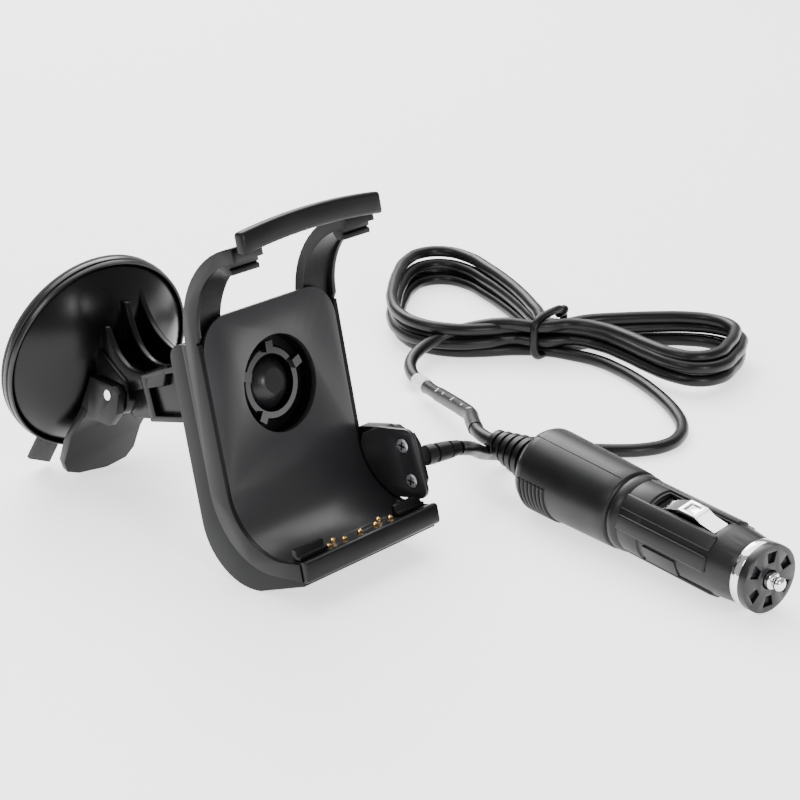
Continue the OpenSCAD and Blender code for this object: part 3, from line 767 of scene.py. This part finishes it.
@dataclass
class Plug:
    """The lighter plug at the end of the cord."""

    rounds: tuple = (
        ("plug_nose", Look.PLUG, Root.CRADLE, 0.25, 2, 30),
        ("nose_cap", Look.CAP, Root.CRADLE, 0.35, 2, 30),
        ("nose_ring", Look.CHROME, Root.CRADLE, 0.1, 2, 30),
    )

    def build(self) -> list[bpy.types.Object]:
        """Makes the plug's rounded pieces."""
        return [rounded(n, look, body, w, s, a) for n, look, body, w, s, a in self.rounds]

    @staticmethod
    def grip() -> bpy.types.Object:
        """The grip, with its seam and finger ridges, as one piece."""
        shell = turned("grip", (
            (0.0, -88.0), (8.6, -88.0), (10.4, -87.7), (11.6, -86.9), (12.2, -85.6),
            (12.25, -84.0), (12.0, -74.0), (11.75, -64.0), (11.5, -55.0), (11.38, -51.4),
            (11.2, -50.9), (10.9, -50.7), (10.5, -50.5), (10.5, -49.9), (10.9, -49.7),
            (11.05, -49.4), (11.0, -48.2), (10.6, -46.6), (10.2, -46.2), (0.0, -46.2)), 96)
        smooth(shell, 40)
        parts = [shell]
        a = math.radians(112)
        seam = [
            Vector((x, r * math.cos(a), r * math.sin(a)))
            for x, r in ((-86.0, 12.22), (-51.6, 11.35))]
        parts.append(bar("seam", *seam, 0.4, 0.4))
        pitch, taper = 1.6, 0.016
        for side in (-1, 1):
            for k in range(7):
                x = -84.6 + pitch * k
                r = 12.15 - taper * k * pitch
                points = [
                    Vector((x, side * r * math.cos(b), r * math.sin(b))) * MM
                    for b in (math.radians(4 - 8 * i) for i in range(10))]
                ridge = Cord.curve("ridge", points, 0.55 * MM)
                only(ridge)
                bpy.ops.object.convert(target="MESH")
                parts.append(bpy.context.object)
        return settle(joined("grip", parts), PLUG)

    @staticmethod
    def contact(name: str, body: Root, roll: float, crest: float) -> bpy.types.Object:
        """A folded side contact with a sunk window in its crest.

        Args:
            name: The CAD node it stands for.
            body: The body it rides on.
            roll: Its turn about the plug's axis, in degrees.
            crest: Its highest place above the axis, in millimetres.

        Returns:
            The finished contact.
        """
        window_border, window_slope, window_depth = 0.95, 0.12, 0.7
        obj = prism(f"{name}_look", (
            (-37.5, 8.4), (-36, 8.5), (-29.6, crest - 0.25), (-28.9, crest), (-23.2, crest),
            (-22.6, crest - 0.3), (-20.6, crest - 1.5), (-16, 9.0), (-16, 8.3),
            (-21, crest - 2.5), (-23.6, crest - 1.2), (-28.6, crest - 1.2), (-36, 7.6),
            (-37.5, 7.6)), -2.6, 2.6, 0)
        only(obj)
        bpy.ops.object.mode_set(mode="EDIT")
        bpy.ops.mesh.select_mode(type="FACE")
        bpy.ops.mesh.select_all(action="DESELECT")
        bpy.ops.object.mode_set(mode="OBJECT")
        for face in obj.data.polygons:
            face.select = face.normal.z > 0.98 and -0.030 < face.center.y < -0.022
        bpy.ops.object.mode_set(mode="EDIT")
        bpy.ops.mesh.inset(thickness=window_border * MM, depth=0)
        bpy.ops.mesh.inset(thickness=window_slope * MM, depth=-window_depth * MM)
        bpy.ops.object.mode_set(mode="OBJECT")
        add_bevel(obj, 0.12, 2)
        smooth(obj)
        settle(obj, PLUG @ turn(x=roll) @ turn(z=-90))
        return ride(obj, Look.CHROME, body, name)

    @staticmethod
    def boot() -> bpy.types.Object:
        """The ribbed boot, with rings that grow towards the grip."""
        profile = [(0.0, -109.0), (3.1, -109.0)]
        for i in range(6):
            x, r = -108.9 + 3.4 * i, 4.0 + 0.62 * i
            profile += [(r - 0.35, x), (r, x + 0.3), (r, x + 2.0), (r - 0.35, x + 2.3)]
            profile += [(r - 1.35, x + 2.35), (r - 1.25, x + 3.35)]
        profile += [(6.4, -87.6), (0.0, -87.6)]
        obj = turned("boot", profile, 48)
        smooth(obj, 40)
        return ride(settle(obj, PLUG), Look.CORD, Root.CRADLE, "plug_boot")

    @staticmethod
    def tip() -> bpy.types.Object:
        """The centre contact with its stepped neck and ball tip."""
        obj = turned("tip", (
            (0.0, -12.0), (3.4, -12.0), (3.4, -2.7), (2.55, -2.65), (2.55, -0.7), (2.3, 0.2),
            (2.3, 1.2), (1.9, 1.5), (1.45, 1.6), (1.45, 2.2), (1.75, 2.5), (1.95, 3.0),
            (1.9, 3.6), (1.5, 4.2), (0.8, 4.5), (0.0, 4.6)), 48)
        smooth(obj, 40)
        return ride(settle(obj, PLUG), Look.CHROME, Root.TIP, "tip_pin")

    @staticmethod
    def ribs() -> bpy.types.Object:
        """Lengthwise ribs on the nose, joined into one piece."""
        parts = []
        for roll in (48, 82, 150, 228, 262, 300, 338):
            strip = bar("rib", Vector((-47, 0, 9.9)), Vector((-13.6, 0, 9.9)), 4.6, 1.3)
            parts.append(settle(strip, turn(x=roll)))
        return ride(settle(joined("nose_ribs", parts), PLUG), Look.PLUG, Root.CRADLE)

    @staticmethod
    def dress() -> None:
        """Finishes the CAD nodes that stay."""
        finish_nodes((
            ("tip_spring", Look.STEEL), ("fuse", Look.GLASS), ("converter_board", Look.BOARD),
        ))


# ---------------------------------------------------------------- stage


@dataclass
class Studio:
    """Camera, floor and lights."""

    lens: float = 99.86
    eye: tuple = (-393.25, -383.83, 258.37)
    azimuth: float = -48.17
    elevation: float = 21.18

    def camera(self) -> None:
        """Adds the camera."""
        data = bpy.data.cameras.new("camera")
        data.lens = self.lens
        data.sensor_width = 36
        data.clip_start = 0.01
        obj = bpy.data.objects.new("camera", data)
        obj.location = (Vector(self.eye) + SHIFT) * MM
        obj.rotation_euler = (math.radians(90 - self.elevation), 0, math.radians(self.azimuth))
        bpy.context.scene.collection.objects.link(obj)
        bpy.context.scene.camera = obj

    def floor(self) -> None:
        """Adds a pale floor."""
        deselect()
        bpy.ops.mesh.primitive_plane_add(size=6, location=(0, 0, 0))
        obj = bpy.context.object
        obj.name = "floor"
        mat = bpy.data.materials.new("floor_white")
        mat.use_nodes = True
        shader = mat.node_tree.nodes["Principled BSDF"]
        shader.inputs["Base Color"].default_value = (0.93, 0.93, 0.93, 1)
        shader.inputs["Emission Color"].default_value = (1, 1, 1, 1)
        shader.inputs["Emission Strength"].default_value = 1.4
        shader.inputs["Roughness"].default_value = 0.6
        obj.data.materials.append(mat)

    def lights(self) -> None:
        """Adds a bright surround and soft lamps."""
        world = bpy.data.worlds.new("studio")
        bpy.context.scene.world = world
        world.use_nodes = True
        back = world.node_tree.nodes["Background"]
        back.inputs["Color"].default_value = (1, 1, 1, 1)
        back.inputs["Strength"].default_value = 0.5
        sun = bpy.data.lights.new("sun", "SUN")
        sun.energy = 3.6
        sun.angle = math.radians(70)
        lamp = bpy.data.objects.new("sun", sun)
        lamp.rotation_euler = Vector((-0.35, -0.45, -1.0)).to_track_quat("-Z", "Y").to_euler()
        bpy.context.scene.collection.objects.link(lamp)
        for name, at, size, power in (
            ("back", (0.55, 0.75, 0.7), 0.6, 9.0),
            ("left", (-0.75, 0.1, 0.75), 0.35, 3.4),
            ("front", (-0.2, -0.95, 0.4), 0.22, 4.5),
        ):
            data = bpy.data.lights.new(name, "AREA")
            data.size = size
            data.energy = power
            obj = bpy.data.objects.new(name, data)
            obj.location = at
            aim = Vector((0.03, 0.0, 0.03)) - Vector(at)
            obj.rotation_euler = aim.to_track_quat("-Z", "Y").to_euler()
            bpy.context.scene.collection.objects.link(obj)


def main() -> None:
    """Builds the looks in order."""
    logging.basicConfig(level=logging.INFO, format="%(message)s")
    studio = Studio()
    studio.camera()
    cord = Cord()
    tube = cord.tube()
    carried = cord.sleeves() + [cord.tie()]
    studio.floor()
    studio.lights()
    for part in (Cradle(), Cup()):
        for piece in part.build():
            LOG.info("made %s", piece.name)
        part.dress()
    plug = Plug()
    grip = ride(plug.grip(), Look.PLUG, Root.CRADLE, "plug_housing_left", "plug_housing_right")
    pieces = plug.build() + [plug.ribs(), grip, plug.boot(), plug.tip()]
    pieces.append(plug.contact("side_contact_a", Root.CONTACT_A, 14, 11.3))
    pieces.append(plug.contact("side_contact_b", Root.CONTACT_B, 194, 10.3))
    plug.dress()
    list((Vector(cord.lead[0]) + SHIFT) * MM)
    bpy.context.view_layer.update()


if __name__ == "__main__":
    main()
